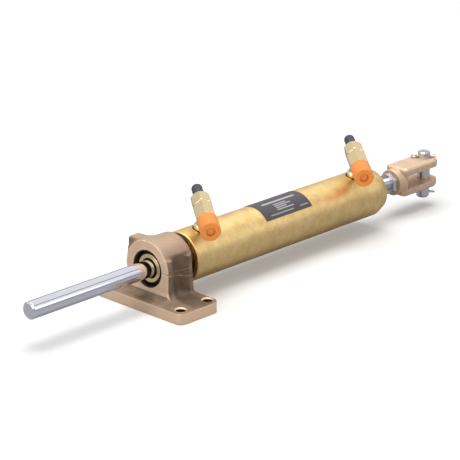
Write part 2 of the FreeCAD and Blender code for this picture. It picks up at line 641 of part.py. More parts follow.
def fitting(end, along, turn):
    """The pieces of one fitting: body, washer, bleed nut, nipple, rubber cap and transport cap."""
    frame = run_frame(along, turn)
    depth = "(fitting_rise + spot_depth)"
    back = "(0 - body_back)"
    nut_back = f"({back} - bleed_nut_length)"
    hose_end = "(body_front + hose_spigot_length)"
    washer_base = f"({OUTER} - spot_depth)"
    chamfer = "(fitting_flats / 2 / cos(30 deg) - fitting_flats / 2)"

    def chamfered_hexagon(name, start, finish, shoulder):
        corner = "(fitting_flats / 2 / cos(30 deg))"
        envelope = turned(name + "_envelope", [
            (start, "0"), (start, f"{corner} - {shoulder}"), (f"{start} + {chamfer}", corner),
            (f"{finish} - {chamfer}", corner), (finish, f"{corner} - {chamfer}"), (finish, "0")])
        return shared(name + "_hexagon", hexagon(name + "_bar", start, finish, "fitting_flats",
                                                 "fitting_hex_turn"), envelope)

    run = chamfered_hexagon(end + "_body", back, "body_front", chamfer)
    spigots = turned(end + "_spigots", [
        (f"{back} - bleed_spigot_length", "0"), (f"{back} - bleed_spigot_length", "spigot_diameter / 2"),
        (hose_end, "spigot_diameter / 2"), (hose_end, "0")])
    stem = bar_z(end + "_stem", f"0 - {depth} + port_washer_thickness", "0", "stem_diameter / 2")
    collar = bar_z(end + "_collar", f"0 - {depth} + port_washer_thickness",
                   f"0 - {depth} + port_washer_thickness + stem_collar_height", "stem_collar_diameter / 2")
    flare = cone_z(end + "_flare", f"0 - {depth} + port_washer_thickness + stem_collar_height",
                   f"0 - {depth} + port_washer_thickness + stem_collar_height + stem_flare",
                   "stem_collar_diameter / 2", "stem_diameter / 2", "0", "0")
    thread = bar_z(end + "_thread", f"0 - fitting_rise - (tube_outer - tube_bore) / 2",
                   f"0 - {depth} + port_washer_thickness + 1", "port_thread / 2")
    blank = fused(end + "_tee_blank", [run, spigots, stem, collar, flare, thread])
    passage = bar_x(end + "_passage", f"{back} - bleed_spigot_length - 1", f"{hose_end} + 1",
                    "passage_diameter / 2", height="0")
    drop = bar_z(end + "_drop", f"0 - fitting_rise - tube_outer / 2", "0", "passage_diameter / 2")
    tee = cut(end + "_fitting_body", blank, [passage, drop])

    washer = doc.addObject("Part::Cylinder", end + "_washer_disc")
    bind(washer, Radius="port_washer_diameter / 2", Height="port_washer_thickness")
    washer_hole = doc.addObject("Part::Cylinder", end + "_washer_hole")
    bind(washer_hole, Radius="port_thread / 2", Height="port_washer_thickness")
    seal = cut(end + "_port_washer", washer, [washer_hole])

    nut_blank = chamfered_hexagon(end + "_nut", nut_back, back, f"nut_taper * {chamfer}")
    spigot_end = f"({back} - bleed_spigot_length)"
    flange_end = f"({spigot_end} - bleed_flange)"
    nut_bore = turned(end + "_nut_bore", [
        (f"{nut_back} - 1", "0"), (f"{nut_back} - 1", "bleed_stem_diameter / 2"),
        (flange_end, "bleed_stem_diameter / 2"), (flange_end, "spigot_diameter / 2"),
        (f"{back} + 1", "spigot_diameter / 2"), (f"{back} + 1", "0")])
    nut = cut(end + "_bleed_nut", nut_blank, [nut_bore])

    nipple_end = f"({nut_back} - bleed_stem_length)"
    nipple = turned(end + "_bleed_nipple", [
        (spigot_end, "0"), (spigot_end, "spigot_diameter / 2"), (flange_end, "spigot_diameter / 2"),
        (flange_end, "bleed_stem_diameter / 2"),
        (f"{nipple_end} + nipple_chamfer", "bleed_stem_diameter / 2"),
        (nipple_end, "bleed_stem_diameter / 2 - nipple_chamfer"), (nipple_end, "0")])

    cap_start = f"({nut_back} - bleed_cap_gap)"
    cap_end = f"({nut_back} - bleed_cap_length)"
    rubber = turned(end + "_bleed_cap", [
        (cap_start, "bleed_stem_diameter / 2"), (cap_start, "bleed_cap_diameter / 2"),
        (f"{cap_start} - bleed_bead", "bleed_cap_diameter / 2"),
        (f"{cap_start} - bleed_bead - bleed_step", "bleed_cap_diameter / 2 - bleed_step"),
        (f"{cap_end} + bleed_dome", "bleed_cap_diameter / 2 - bleed_step"),
        (cap_end, "bleed_cap_diameter / 2 - bleed_step - bleed_dome"), (cap_end, "0"),
        (nipple_end, "0"), (nipple_end, "bleed_stem_diameter / 2")])

    cap_front = "(body_front + hose_cap_length)"
    cavity_end = f"({cap_front} - dimple_depth - hose_cap_wall)"
    transport = turned(end + "_hose_cap", [
        ("body_front", "spigot_diameter / 2"), ("body_front", "hose_cap_diameter / 2 - hose_cap_lip"),
        ("body_front + hose_cap_lip", "hose_cap_diameter / 2"),
        (f"{cap_front} - hose_cap_edge", "hose_cap_diameter / 2"),
        (cap_front, "hose_cap_diameter / 2 - hose_cap_edge"), (cap_front, "dimple_diameter / 2"),
        (f"{cap_front} - dimple_depth", "dimple_diameter / 2 - hose_cap_lip"),
        (f"{cap_front} - dimple_depth", "0"),
        (cavity_end, "0"), (cavity_end, "spigot_diameter / 2")])

    bind(seal, Placement=stem_frame(along, washer_base))
    for piece in (tee, nut, nipple, rubber, transport):
        bind(piece, Placement=frame)
    return [tee, seal, nut, nipple, rubber, transport]


def rod():
    """Chromed rod with circlip grooves beside the piston and a threaded fork end."""
    shoulder = f"({NUT} - shoulder_gap)"
    end = f"({SLOT} - thread_short)"
    groove_front = f"({PISTON} - circlip_thickness)"
    groove_rear = f"({PISTON_END} + circlip_thickness)"
    return on_axis(turned("rod", [
        (ROD_END, "0"),
        (ROD_END, f"{ROD} - rod_chamfer"),
        (f"{ROD_END} + rod_chamfer", ROD),
        (groove_front, ROD),
        (groove_front, "rod_groove_diameter / 2"),
        (PISTON, "rod_groove_diameter / 2"),
        (PISTON, ROD),
        (PISTON_END, ROD),
        (PISTON_END, "rod_groove_diameter / 2"),
        (groove_rear, "rod_groove_diameter / 2"),
        (groove_rear, ROD),
        (f"{shoulder} - thread_chamfer", ROD),
        (shoulder, f"{ROD} - thread_chamfer"),
        (shoulder, "thread_diameter / 2"),
        (f"{end} - thread_chamfer", "thread_diameter / 2"),
        (end, "thread_diameter / 2 - thread_chamfer"),
        (end, "0"),
    ]))


def guide_starts():
    """Where the two guide rings begin."""
    return [f"({PISTON} + guide_inset)", f"({PISTON_END} - guide_inset - guide_width)"]


def piston():
    """Piston with grooves for its seal and guide rings."""
    radius = "(piston_diameter / 2)"
    seal_start = f"({PISTON} + piston_length / 2 - piston_seal_width / 2)"
    corners = [(PISTON, ROD), (PISTON, f"{radius} - piston_chamfer"), (f"{PISTON} + piston_chamfer", radius)]
    front_guide, rear_guide = guide_starts()
    for start, width, depth in ((front_guide, "guide_width", "guide_depth"),
                                (seal_start, "piston_seal_width", "piston_seal_depth"),
                                (rear_guide, "guide_width", "guide_depth")):
        corners.extend([(start, radius), (start, f"{radius} - {depth}"),
                        (f"{start} + {width}", f"{radius} - {depth}"), (f"{start} + {width}", radius)])
    corners.extend([(f"{PISTON_END} - piston_chamfer", radius),
                    (PISTON_END, f"{radius} - piston_chamfer"), (PISTON_END, ROD)])
    return on_axis(turned("piston", corners))


def piston_rings():
    """Seal and guide rings that ride in the piston's grooves and rub on the bore."""
    radius = "piston_diameter / 2"
    outer = f"{BORE} - fit_clearance"
    rings = []
    for label, start in zip(("front_guide_ring", "rear_guide_ring"), guide_starts()):
        rings.append(ring_of(label, f"{start} + axial_play", f"{start} + guide_width - axial_play",
                             f"{radius} - guide_depth + fit_clearance", outer))
    middle = f"({PISTON} + piston_length / 2)"
    rings.append(ring_of("piston_seal", f"{middle} - piston_seal_width / 2 + axial_play",
                         f"{middle} + piston_seal_width / 2 - axial_play",
                         f"{radius} - piston_seal_depth + fit_clearance", outer))
    return rings


def piston_circlips():
    """Two circlips that hold the piston on the rod."""
    rings = []
    for start in (f"({PISTON} - circlip_thickness)", PISTON_END):
        rings.append(ring_of("piston_circlip", start, f"{start} + circlip_thickness",
                             "rod_groove_diameter / 2", "piston_circlip_outer / 2"))
    return fused("piston_circlips", rings)


def lock_nut():
    """Thin nut that locks the fork on its thread."""
    corner = "(nut_flats / 2 / cos(30 deg))"
    chamfer = f"({corner} - nut_flats / 2)"
    envelope = turned("lock_nut_envelope", [
        (NUT, "0"), (NUT, f"{corner} - {chamfer}"), (f"{NUT} + {chamfer} / 2", corner),
        (f"{FORK} - {chamfer} / 2", corner), (FORK, f"{corner} - {chamfer}"), (FORK, "0")])
    blank = shared("lock_nut_blank", hexagon("lock_nut_bar", NUT, FORK, "nut_flats"), envelope)
    bore = bar_x("lock_nut_bore", f"{NUT} - 1", f"{FORK} + 1", "thread_diameter / 2", height="0")
    return on_axis(cut("lock_nut", blank, [bore]))


def fork():
    """Bronze fork: round boss, web and two ears with rounded ends."""
    body = doc.addObject("PartDesign::Body", "fork_casting")
    half_width = "(fork_width / 2)"
    padded(body, "fork_ears", "XY_Plane", [
        (FORK_BLOCK, f"-{half_width} + fork_edge"), (f"{FORK_BLOCK} + fork_edge", f"-{half_width}"),
        (PIN, f"-{half_width}"), (f"{PIN} + {half_width}", f"-{half_width}"),
        (f"{PIN} + {half_width}", half_width), (PIN, half_width),
        (f"{FORK_BLOCK} + fork_edge", half_width), (FORK_BLOCK, f"{half_width} - fork_edge")],
        "fork_height", midplane=True)
    end = number(f"{PIN} + {half_width}")
    rounded(body, "ear_ends", f"{half_width} - 0.01",
            lambda edge: edge.BoundBox.XMin > end - 0.01 and edge.BoundBox.ZLength > 1)
    top = number("fork_height / 2")
    rounded(body, "fork_edges", "fork_edge",
            lambda edge: abs(abs(edge.CenterOfMass.z) - top) < 0.01 and edge.BoundBox.ZLength < 0.01)
    on_axis(body)
    boss = on_axis(turned("fork_boss", [
        (FORK, "0"), (FORK, "fork_width / 2 - fork_boss_chamfer"),
        (f"{FORK} + fork_boss_chamfer", "fork_width / 2"), (f"{FORK_BLOCK} + fork_edge", "fork_width / 2"),
        (f"{FORK_BLOCK} + fork_edge", "0")]))
    slot = block("fork_gap", SLOT, f"{PIN} + fork_width", "-fork_width", "fork_width",
                 "axis_height - fork_slot / 2", "axis_height + fork_slot / 2")
    thread = bar_x("fork_thread", f"{FORK} - 1", f"{SLOT} + 1", "thread_diameter / 2")
    hole = bar_z("fork_pin_hole", "axis_height - fork_height", "axis_height + fork_height",
                 "pin_diameter / 2 + fit_clearance", PIN)
    return cut("fork", fused("fork_blank", [body, boss]), [slot, thread, hole])


UPPER_SPLIT = "(axis_height + fork_height / 2 + split_pin_play + split_pin_diameter / 2)"
LOWER_SPLIT = f"({UPPER_SPLIT} - split_pin_spacing)"
PIN_TOP = f"({UPPER_SPLIT} + (pin_length - split_pin_spacing) / 2)"


def split_frame(height):
    """Placement with X along a split pin."""
    return f"placement(vector({PIN}; 0; {height}); rotation(vector(0; 0; 1); 0 - split_pin_turn))"


def clevis_pin():
    """Plain pin, cross-drilled at both ends."""
    bottom = f"({PIN_TOP} - pin_length)"
    radius = "(pin_diameter / 2)"
    shank = bar_z("pin_shank", f"{bottom} + pin_chamfer", f"{PIN_TOP} - pin_chamfer", radius, PIN)
    top = cone_z("pin_top", f"{PIN_TOP} - pin_chamfer", PIN_TOP, radius, f"{radius} - pin_chamfer", PIN, "0")
    foot = cone_z("pin_foot", bottom, f"{bottom} + pin_chamfer", f"{radius} - pin_chamfer", radius, PIN, "0")
    holes = []
    for height in (UPPER_SPLIT, LOWER_SPLIT):
        hole = doc.addObject("Part::Cylinder", "split_pin_hole")
        bind(hole, Radius="split_pin_diameter / 2", Height="2 * pin_diameter",
             Placement=split_frame(height) + " * placement(vector(0 - pin_diameter; 0; 0);"
                                             " rotation(vector(0; 1; 0); 90))")
        holes.append(hole)
    return cut("clevis_pin", fused("pin_blank", [shank, top, foot]), holes)


def split_pin(label, height):
    """Split pin: an eye, a shank through the clevis pin and two spread tails."""
    radius = "(split_pin_diameter / 2)"
    eye = doc.addObject("Part::Torus", label + "_eye")
    bind(eye, Radius1="split_pin_eye - split_pin_diameter / 4", Radius2="split_pin_diameter / 4",
         Placement__Base__x="0 - pin_diameter / 2 - split_pin_eye - split_eye_gap")
    shank = bar_x(label + "_shank", "(0 - pin_diameter / 2 - split_neck)", "(pin_diameter / 2 + split_neck)",
                  radius, height="0")
    pieces = [eye, shank]
    for side in (-1, 1):
        tail = doc.addObject("Part::Cylinder", label + "_tail")
        bind(tail, Radius="split_pin_diameter / 4", Height="split_pin_tail - pin_diameter / 2",
             Placement=f"placement(vector(pin_diameter / 2; {side} * split_pin_diameter / 5; 0);"
                       f" rotation(vector(0; 0; 1); {side} * split_tail_spread))"
                       " * placement(vector(0; 0; 0); rotation(vector(0; 1; 0); 90))")
        pieces.append(tail)
    return bind(fused(label, pieces), Placement=split_frame(height))


def front_circlip():
    """Circlip that holds the ball on the gland's sleeve."""
    start = f"({BALL_FRONT} - axial_play - circlip_thickness)"
    return ring_of("gland_circlip", start, f"{start} + circlip_thickness", "circlip_groove / 2",
                   "circlip_outer / 2")


def gland_seals():
    """Wipers, rod seals and sealing rings of both glands."""
    front_pocket = f"({SLEEVE_END} + wiper_inset)"
    rear_pocket = f"({GLAND_END} - wiper_inset)"
    front_seal = f"({FRONT_LAND} - seal_inset)"
    rear_seal = f"({REAR_LAND} + seal_inset - seal_length)"
    return [
        lipped_ring("front_wiper", f"({front_pocket} + wiper_length)", front_pocket, ROD_HOLE,
                    "wiper_pocket / 2"),
        lipped_ring("rear_wiper", f"({rear_pocket} - wiper_length)", rear_pocket, ROD_HOLE,
                    "wiper_pocket / 2"),
        ring_of("front_rod_seal", front_seal, f"{front_seal} + seal_length", ROD_HOLE, "seal_groove / 2"),
        ring_of("rear_rod_seal", rear_seal, f"{rear_seal} + seal_length", ROD_HOLE, "seal_groove / 2"),
        sealing_ring("front_gland_ring", f"({GLAND_FACE} + ring_inset)"),
        sealing_ring("rear_gland_ring", f"({TUBE_REAR} - ring_inset - ring_section - ring_play)"),
    ]


parts = [foot_base(), foot_cap(), cap_screws()]
parts += [ball_seat("upper_ball_seat", True), ball_seat("lower_ball_seat", False), pivot_ball()]
parts += [front_gland(), front_circlip(), rear_gland(), tube(), label_plate()] + gland_seals()
parts += fitting("front", FRONT_PORT, "front_fitting_turn") + fitting("rear", REAR_PORT, "rear_fitting_turn")
parts += [rod(), piston(), piston_circlips(), lock_nut(), fork()] + piston_rings()
parts += [clevis_pin(), split_pin("upper_split_pin", UPPER_SPLIT), split_pin("lower_split_pin", LOWER_SPLIT)]

doc.recompute()

for item in doc.Objects:
    if "Invalid" in item.State or "Error" in item.State:
        raise RuntimeError(f"{item.Label} failed: {item.State}")
for part in parts:
    if part.Shape.isNull() or not part.Shape.isValid():
        raise RuntimeError(f"{part.Label} has no valid shape")

os.makedirs("parts", exist_ok=True)
for part in parts:
    part.Shape.exportStep(f"parts/{part.Label}.step")
    print(part.Label, len(part.Shape.Solids), round(part.Shape.Volume, 1))
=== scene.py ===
"""Looks of a double-ended hydraulic steering cylinder: brass tube, bronze foot and fork, chromed rod."""

import json
import math

import bpy
import numpy as np
from mathutils import Matrix, Vector


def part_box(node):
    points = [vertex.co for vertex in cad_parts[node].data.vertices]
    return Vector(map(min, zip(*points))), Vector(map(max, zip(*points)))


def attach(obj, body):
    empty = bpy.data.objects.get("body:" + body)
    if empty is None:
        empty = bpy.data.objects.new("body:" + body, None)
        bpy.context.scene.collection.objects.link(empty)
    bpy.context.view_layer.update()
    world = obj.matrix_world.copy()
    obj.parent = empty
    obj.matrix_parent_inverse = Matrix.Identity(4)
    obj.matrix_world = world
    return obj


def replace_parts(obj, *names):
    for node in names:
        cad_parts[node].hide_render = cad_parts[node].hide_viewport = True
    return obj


MM = 0.001
PER_METRE = 1000.0

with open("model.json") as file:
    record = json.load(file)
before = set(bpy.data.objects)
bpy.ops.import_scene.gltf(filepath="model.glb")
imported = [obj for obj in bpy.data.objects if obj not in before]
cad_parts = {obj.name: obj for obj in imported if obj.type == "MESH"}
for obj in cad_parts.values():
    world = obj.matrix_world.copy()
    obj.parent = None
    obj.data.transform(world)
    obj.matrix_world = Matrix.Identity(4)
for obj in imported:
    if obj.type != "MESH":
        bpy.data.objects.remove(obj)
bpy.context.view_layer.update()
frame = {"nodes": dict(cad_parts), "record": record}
nodes = frame["nodes"]


def span(node, axis):
    """Lowest and highest place of a CAD node along one axis, in millimetres."""
    low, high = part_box(node)
    return low[axis] * PER_METRE, high[axis] * PER_METRE


AXIS_HEIGHT = sum(span("rod", 2)) / 2
HOUSING_FRONT, HOUSING_REAR = span("foot_cap", 0)
HOUSING_MIDDLE = (HOUSING_FRONT + HOUSING_REAR) / 2
ARCH = span("foot_cap", 2)[1] - AXIS_HEIGHT
PLATE_SIDE = span("foot_base", 0)[1]
PLATE_END = span("foot_base", 1)[1]
PLATE_TOP = 11.2
THREAD_END = span("lock_nut", 0)[0]
THREAD_PITCH = 1.75
THREAD_LENGTH = 8.6
HAIRLINE = 0.22
TUBE_FRONT, TUBE_REAR = span("tube", 0)
TUBE_RADIUS = span("tube", 1)[1]
HOLE_ALONG = 16.8
HOLE_ACROSS = 46.6
HOLE_RADIUS = 4.5
HOLE_SINK = 1.0
LEAN = math.radians(12.5)
PLATE_CORNER = 7.0
PLATE_EDGE = 2.4
ROOT_FRONT = 9.0
ROOT_REAR = 4.0
SHOULDER_FRONT = HOUSING_FRONT + 2.2
SHOULDER_END = 9.0
SHOULDER_HEIGHT = 25.1
SHOULDER_SLOPE = 0.45
FLAT_TOP = 14.8
FLAT_ACROSS = 21.6
FLAT_LEAN = 0.12
FLAT_START = -6.0
SCOOP_DEPTH = 4.5
SCOOP_RADIUS = 8.9
SCOOP_PLACE = HOUSING_MIDDLE - 1.0
RIM = 2.4
CHANNEL = 4.6
CHANNEL_DEPTH = 1.2
GROOVE_PLACE = HOUSING_REAR - 6.2
GROOVE_RADIUS = 1.8
GROOVE_TOP = 3.5
OPENING = 16.8
SEAT = 18.5
SCREW_ALONG = 11.8
SCREW_ACROSS = 20.6
SCREW_HEAD = 4.5
SCREW_HEAD_TOP = 5.6
SCREW_SHANK = 2.75
SCREW_END = 10.5
SCREW_WALL = 0.7
CREASE = math.radians(28)


class Signal:
    """A shader value that can stand in Python arithmetic."""

    def __init__(self, finish, socket):
        self.finish = finish
        self.socket = socket

    def maths(self, operation, *terms, clamp=False):
        """Any Math node."""
        settings = {"operation": operation, "use_clamp": clamp}
        return self.finish.node("ShaderNodeMath", settings, dict(enumerate(terms)))

    def __add__(self, other):
        return self.maths("ADD", self, other)

    def __sub__(self, other):
        return self.maths("SUBTRACT", self, other)

    def __rsub__(self, other):
        return self.maths("SUBTRACT", other, self)

    def __mul__(self, other):
        return self.maths("MULTIPLY", self, other)

    def __truediv__(self, other):
        return self.maths("DIVIDE", self, other)

    __radd__ = __add__
    __rmul__ = __mul__

    def size(self):
        """Distance from zero."""
        return self.maths("ABSOLUTE", self)

    def highest(self, other):
        return self.maths("MAXIMUM", self, other)

    def above(self, edge, soft):
        """0 below an edge, 1 above it, with a soft change between."""
        return self.maths("MULTIPLY_ADD", self, 1 / soft, 0.5 - edge / soft, clamp=True)

    def within(self, low, high, soft):
        """1 between two edges."""
        return self.above(low, soft) * (1 - self.above(high, soft))


class NodeSheet:
    """A node tree that is filled by plain calls."""

    def __init__(self, tree):
        self.tree = tree

    def node(self, kind, settings=None, inputs=None, output=0):
        """Any node: its settings first, then the values or links of its sockets."""
        made = self.tree.nodes.new(kind)
        for setting, value in (settings or {}).items():
            if setting == "stops":
                while len(made.color_ramp.elements) < len(value):
                    made.color_ramp.elements.new(1.0)
                for element, (position, shade) in zip(made.color_ramp.elements, value):
                    element.position = position
                    element.color = (*shade, 1.0)
            else:
                setattr(made, setting, value)
        for key, value in (inputs or {}).items():
            self.feed(made.inputs[key], value)
        return Signal(self, made.outputs[output])

    def feed(self, socket, value):
        """Link a signal to a socket, or write a plain value on it."""
        if isinstance(value, Signal):
            self.tree.links.new(value.socket, socket)
        elif isinstance(value, tuple) and len(socket.default_value) > len(value):
            socket.default_value = (*value, 1.0)
        else:
            socket.default_value = value

    def blended(self, factor, first, second):
        """A colour between two others."""
        settings = {"data_type": "RGBA", "clamp_factor": True}
        return self.node("ShaderNodeMix", settings, {0: factor, 6: first, 7: second}, output=2)


class Finish(NodeSheet):
    """A procedural surface, with its patterns measured in millimetres of the row frame."""

    def __init__(self, name):
        self.material = bpy.data.materials.new(name)
        self.material.use_nodes = True
        super().__init__(self.material.node_tree)
        self.shader = self.tree.nodes["Principled BSDF"]
        places = self.node("ShaderNodeTexCoord", output="Object")
        self.place = self.node("ShaderNodeVectorMath", {"operation": "SCALE"},
                               {0: places, "Scale": PER_METRE})
        split = [self.node("ShaderNodeSeparateXYZ", inputs={0: self.place}, output=axis) for axis in "XYZ"]
        self.x, self.y, self.z = split
        facing = self.node("ShaderNodeTexCoord", output="Normal")
        self.rise = self.node("ShaderNodeSeparateXYZ", inputs={0: facing}, output="Z")

    def grain(self, size, detail=3.0, stretch=(1.0, 1.0, 1.0), roughness=0.5):
        """Noise whose grains are about so many millimetres wide."""
        scaled = self.node("ShaderNodeVectorMath", {"operation": "MULTIPLY"},
                           {0: self.place, 1: tuple(1 / part for part in stretch)})
        return self.node("ShaderNodeTexNoise", {}, {"Vector": scaled, "Scale": 1 / size, "Detail": detail,
                                                    "Roughness": roughness})

    def hollows(self, reach):
        """1 in the open, 0 deep in a hollow of the same piece."""
        return self.node("ShaderNodeAmbientOcclusion", {"samples": 8, "only_local": True},
                         {"Distance": reach * MM}, output="AO")

    def eased_normal(self, radius):
        """Surface direction with every edge eased over a radius."""
        return self.node("ShaderNodeBevel", {"samples": 6}, {"Radius": radius * MM})

    def edges(self, eased, low, high):
        """1 along sharp edges, from the turn of the eased direction."""
        flat = self.node("ShaderNodeNewGeometry", output="True Normal")
        likeness = self.node("ShaderNodeVectorMath", {"operation": "DOT_PRODUCT"}, {0: eased, 1: flat},
                             output="Value")
        return (1 - likeness).above((low + high) / 2, high - low)

    def relief(self, height, depth, normal=None):
        """A bump of so many millimetres."""
        inputs = {"Height": height, "Distance": depth * MM}
        if normal is not None:
            inputs["Normal"] = normal
        return self.node("ShaderNodeBump", {}, inputs)

    def dress(self, **sockets):
        """Write the shader's sockets; an underscore stands for a space."""
        for name, value in sockets.items():
            self.feed(self.shader.inputs[name.replace("_", " ")], value)
        return self.material


def cast_bronze():
    """Sand-cast bronze: brown skin, paler where it is machined, bright along its edges from wear and painted
    highlight, with painted light on its upward tops and painted shade in its hollows, side scoop, bore and
    holes.
    """
    f = Finish("bronze")
    eased = f.eased_normal(0.7)
    edge_wear_and_highlight = f.edges(eased, 0.04, 0.3)
    open_skin = f.hollows(8.0)
    patch = f.grain(8.0, 5.0, roughness=0.6)
    speck = f.grain(0.8, 4.0, roughness=0.65)
    browns = [(0.3, (0.20, 0.138, 0.092)), (0.5, (0.31, 0.222, 0.155)), (0.72, (0.47, 0.345, 0.25))]
    skin = f.node("ShaderNodeValToRGB", {"stops": browns}, {0: patch * 0.5 + speck * 0.5})
    sunlit = f.rise.above(0.45, 0.7) * f.z.above(AXIS_HEIGHT + 8.0, 10.0)
    skin = f.blended(sunlit * 0.55, skin, (0.62, 0.455, 0.33))
    across_axis = f.z - AXIS_HEIGHT
    from_axis = f.y * f.y + across_axis * across_axis
    painted_bore_shade = 1 - from_axis.above((OPENING + 0.7) ** 2, 8.0)
    # Painted shade: the skin darkens to a near-black brown deep in hollows and across the side scoop.
    painted_scoop_shade = f.y.size().above(18.0, 3.0) * f.x.within(HOUSING_FRONT + 7.0, HOUSING_REAR - 5.0, 3.0)
    painted_scoop_shade = painted_scoop_shade * f.z.within(PLATE_TOP - 1.0, AXIS_HEIGHT + FLAT_TOP, 1.6)
    open_skin = open_skin.above(0.6, 0.7)
    free_of_painted_shade = open_skin.maths("MINIMUM", open_skin, 1 - 0.5 * painted_scoop_shade)
    skin = f.blended(free_of_painted_shade, (0.085, 0.058, 0.04), skin)
    cut = f.node("ShaderNodeValToRGB", {"stops": [(0.25, (0.80, 0.56, 0.37)), (0.75, (0.96, 0.74, 0.53))]},
                 {0: patch * 0.4 + speck * 0.6})
    fork = f.x.above(THREAD_END, 1.0)
    front_face = f.x.within(HOUSING_FRONT - 1.0, HOUSING_FRONT + 0.3, 0.2) * f.z.above(PLATE_TOP + 3.0, 6.0)
    plate_sides = (1 - f.rise.size()).above(0.55, 0.2) * (1 - f.z.above(PLATE_TOP - 0.7, 0.6))
    along = f.x.size() - HOLE_ALONG
    across = f.y.size() - HOLE_ACROSS
    squares = along * along + across * across
    from_hole = squares.maths("SQRT", squares)
    near_hole = 1 - from_hole.above(HOLE_RADIUS + 1.2, 0.3)
    hole_rim = near_hole * f.z.above(PLATE_TOP - 1.3, 0.3)
    hole_wall = near_hole * (1 - f.z.above(PLATE_TOP - 1.3, 0.3)) * f.z.above(0.3, 0.2)
    machined = front_face.highest(plate_sides).highest(hole_rim) * (1 - fork) * (1 - hole_wall)
    machined = machined.highest(fork * (0.5 + 0.3 * patch))
    colour = f.blended(machined, skin, cut)
    # Edges brightened: partly wear, partly painted highlight.
    colour = f.blended(edge_wear_and_highlight * (0.25 + 0.5 * speck), colour, (0.92, 0.72, 0.47))
    # Painted shade: the walls of the mounting holes and the bore are darkened to near black.
    colour = f.blended(hole_wall.highest(painted_bore_shade * (1 - fork) * 0.85), colour, (0.05, 0.032, 0.016))
    rough = 0.6 - 0.1 * machined - 0.14 * edge_wear_and_highlight + 0.1 * speck
    return f.dress(Base_Color=colour, Metallic=0.78, Roughness=rough,
                   Normal=f.relief(speck + 0.8 * patch, 0.06, eased))


def drawn_brass():
    """Satin drawn brass, mottled by polishing, with a hairline where the rear gland begins."""
    f = Finish("tube_brass")
    streak = f.grain(1.5, 4.0, stretch=(0.4, 5.0, 5.0), roughness=0.6)
    cloud = f.grain(9.0, 6.0, roughness=0.68)
    fine = f.grain(0.7, 4.0, roughness=0.72)
    golds = [(0.34, (0.66, 0.44, 0.15)), (0.5, (0.83, 0.60, 0.26)), (0.66, (0.93, 0.74, 0.40))]
    colour = f.node("ShaderNodeValToRGB", {"stops": golds}, {0: cloud * 0.45 + streak * 0.2 + fine * 0.35})
    joint = f.x.within(TUBE_REAR - HAIRLINE, TUBE_REAR + HAIRLINE, 0.12)
    colour = f.blended(joint * 0.75, colour, (0.14, 0.09, 0.04))
    height = streak + 0.6 * fine + 0.4 * cloud - 3.0 * joint
    return f.dress(Base_Color=colour, Metallic=1.0, Roughness=0.34 + 0.2 * streak + 0.12 * (cloud - 0.5),
                   Normal=f.relief(height, 0.014, f.eased_normal(0.35)))


def turned_metal(name, dark, light, rough, ring=0.28):
    """Lathe-turned metal with fine rings and eased edges, brightened as a painted highlight."""
    f = Finish(name)
    eased = f.eased_normal(0.3)
    edge_wear_and_highlight = f.edges(eased, 0.03, 0.2)
    rings = f.node("ShaderNodeTexNoise", {"noise_dimensions": "1D"},
                   {"W": f.x, "Scale": 1 / ring, "Detail": 3.0})
    cloud = f.grain(5.0, 4.0)
    colour = f.blended(cloud * 0.6 + rings * 0.4, dark, light)
    # Painted highlight: the edges are brightened beyond the light colour.
    colour = f.blended(edge_wear_and_highlight * 0.6, colour, tuple(min(1.0, part * 1.12) for part in light))
    return f.dress(Base_Color=colour, Metallic=1.0, Roughness=rough * (0.8 + 0.5 * rings) + 0.05 * cloud,
                   Normal=f.relief(rings, 0.006, eased))


def chromed_rod():
    """Ground hard chrome, with the thread at its fork end."""
    f = Finish("chrome_rod")
    eased = f.eased_normal(0.25)
    cloud = f.grain(14.0, 3.0)
    hair = f.grain(0.5, 3.0, stretch=(0.3, 4.0, 4.0))
    turn = f.y.maths("ARCTAN2", f.y, f.z - AXIS_HEIGHT) / (2 * math.pi)
    groove = f.node("ShaderNodeMath", {"operation": "PINGPONG"}, {0: f.x / THREAD_PITCH + turn, 1: 0.5})
    stub = f.x.above(THREAD_END - THREAD_LENGTH, 0.3)
    colour = f.blended(cloud * 0.5 + hair * 0.5, (0.68, 0.68, 0.745), (0.80, 0.80, 0.86))
    rough = 0.06 + 0.03 * hair + 0.02 * cloud + 0.2 * stub
    return f.dress(Base_Color=colour, Metallic=1.0, Roughness=rough,
                   Normal=f.relief(groove * stub + 0.004 * hair, 0.9, eased))


def moulded(name, dark, light, rough, bump, shade=None):
    """Moulded plastic or rubber with a faint skin, and painted shade in its hollows when a shade colour is
    given.
    """
    f = Finish(name)
    eased = f.eased_normal(0.45)
    cloud = f.grain(6.0, 4.0)
    fine = f.grain(0.5, 3.0)
    rubbed = f.edges(eased, 0.04, 0.3)
    colour = f.blended(cloud * 0.5 + rubbed * 0.5, dark, light)
    if shade:
        # Painted shade: the hollows darken towards the given colour.
        colour = f.blended(f.hollows(3.5).above(0.72, 0.25), shade, colour)
    return f.dress(Base_Color=colour, Roughness=rough + 0.12 * (fine - 0.5) - 0.06 * rubbed,
                   Normal=f.relief(fine + 0.6 * cloud, bump, eased))


LABEL_FIELDS = (
    (129.0, 181.0, -21.0, -18.0, 0.35), (133.0, 177.0, 5.0, 10.5, 0.95), (144.0, 161.0, 16.5, 19.5, 0.8),
    (144.0, 165.0, 22.0, 25.0, 0.8), (144.0, 158.0, 27.5, 30.5, 0.8), (144.0, 166.0, 33.0, 36.0, 0.8),
    (132.0, 163.0, 42.0, 45.0, 0.6), (172.0, 183.0, 41.0, 44.0, 0.6),
)


